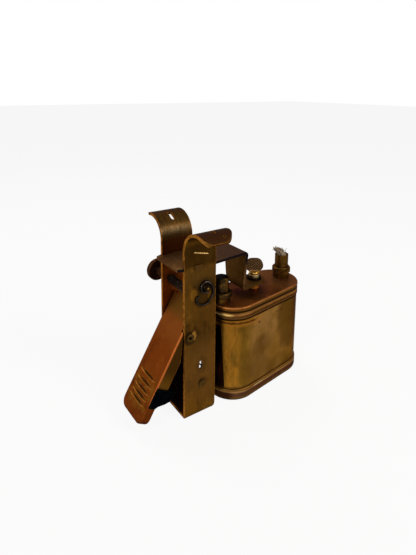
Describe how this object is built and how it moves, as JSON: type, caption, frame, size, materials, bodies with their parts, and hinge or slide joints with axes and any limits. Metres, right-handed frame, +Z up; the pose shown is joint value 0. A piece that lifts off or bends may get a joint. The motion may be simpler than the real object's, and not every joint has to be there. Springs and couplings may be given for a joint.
{
  "type": "table lighter",
  "caption": "Brass table lighter: strip frame with a squeeze lever, flint striker and wire keeper, a bracket with a clamp screw, and a swivelling fuel tank with filler cap and wick tube.",
  "frame": {"origin": "On the ground under the middle of the strip frame's floor, at the centre of its underside.", "axes": "+Z up, +X from the lever towards the fuel tank, +Y to the rear, the striker knob's side."},
  "size_m": [0.1135, 0.0571, 0.1046],
  "materials": {
    "strip_brass": "aged brass with brown patina",
    "brown_steel": "dark brown, worn",
    "dark_block": "dark fibre, dull",
    "pin_metal": "dull, with dark rims",
    "copper_brown": "copper-brown lacquer, worn at the edges",
    "black_rubber": "black, slightly shiny",
    "steel_wire": "oxidised wire",
    "flint": "dark, granular",
    "dark_steel": "knurled and oxidised",
    "tank_brass": "aged brass sheet with stains",
    "rim_brass": "dark aged brass",
    "lid_brown": "dark reddish brown patina",
    "cotton": "loose cotton",
    "tube_brass": "dull brass",
    "screw_metal": "worn, yellowish",
    "cap_brass": "dark brass",
    "wick_cotton": "cotton wick, frayed"
  },
  "bodies": {
    "frame": {"frame": "strip_brass", "bracket": "brown_steel", "spacer_block": "dark_block", "spacer_rivet": "pin_metal", "pivot_pin": "pin_metal", "pivot_washers": "strip_brass", "lever_spring": "steel_wire", "keeper_stud": "pin_metal", "keeper_nut": "strip_brass"},
    "lever": {"lever": "copper_brown", "bumper_block": "black_rubber", "flint_tube": "strip_brass", "flint_spring": "steel_wire", "flint_screw": "strip_brass"},
    "flint": {"flint": "flint"},
    "striker": {"striker_roller": "dark_steel", "striker_shaft": "dark_steel", "striker_knob": "strip_brass", "knob_pin": "dark_steel"},
    "keeper": {"keeper_wire": "steel_wire"},
    "tank": {"tank_body": "tank_brass", "tank_base": "rim_brass", "tank_lid": "lid_brown", "tank_packing": "cotton", "clamp_boss": "tube_brass", "filler_neck": "tube_brass", "wick_neck": "tube_brass", "wick_nut": "tube_brass", "wick_tube": "tube_brass", "wick": "wick_cotton"},
    "clamp_lift": {"clamp_washer": "screw_metal"},
    "clamp_turn": {"clamp_screw": "screw_metal"},
    "cap_lift": {"filler_gasket": "black_rubber"},
    "cap_turn": {"filler_cap": "cap_brass"}
  },
  "joints": [
    {"name": "lever_swing", "type": "hinge", "parent": "frame", "child": "lever", "pos_m": [-0.0063, 0, 0.0461], "axis": [0, -1, 0], "range_deg": [0, 7], "stiffness_Nm_per_rad": 0.03, "springref_deg": -17.19, "deforming": ["lever_spring"]},
    {"name": "flint_slide", "type": "slide", "parent": "lever", "child": "flint", "axis": [-0.8616, 0, 0.5075], "range_m": [-0.0008, 0], "stiffness_N_per_m": 200, "springref_m": 0.001, "deforming": ["flint_spring"]},
    {"name": "striker_spin", "type": "hinge", "parent": "frame", "child": "striker", "pos_m": [-0.0053, 0, 0.0705], "axis": [0, 1, 0], "continuous": true},
    {"name": "keeper_swing", "type": "hinge", "parent": "frame", "child": "keeper", "pos_m": [0.003, -0.0128, 0.0718], "axis": [0, 1, 0], "range_deg": [-60, 60]},
    {"name": "tank_swivel", "type": "hinge", "parent": "frame", "child": "tank", "pos_m": [0.0455, 0, 0], "axis": [0, 0, 1], "continuous": true},
    {"name": "clamp_screw_lift", "type": "slide", "parent": "frame", "child": "clamp_lift", "axis": [0, 0, 1], "range_m": [0, 0.0014]},
    {"name": "clamp_screw_turn", "type": "hinge", "parent": "clamp_lift", "child": "clamp_turn", "pos_m": [0.0455, 0, 0.0624], "axis": [0, 0, 1], "range_deg": [0, 721]},
    {"name": "filler_cap_lift", "type": "slide", "parent": "tank", "child": "cap_lift", "axis": [0, 0, 1], "range_m": [0, 0.003]},
    {"name": "filler_cap_turn", "type": "hinge", "parent": "cap_lift", "child": "cap_turn", "pos_m": [0.01926, -0.00369, 0.068], "axis": [0, 0, 1], "range_deg": [0, 1081]}
  ],
  "couplings": [
    {"joint": "clamp_screw_turn", "follows": "clamp_screw_lift", "rad_per_m": 8976},
    {"joint": "filler_cap_turn", "follows": "filler_cap_lift", "rad_per_m": 6283.2}
  ]
}
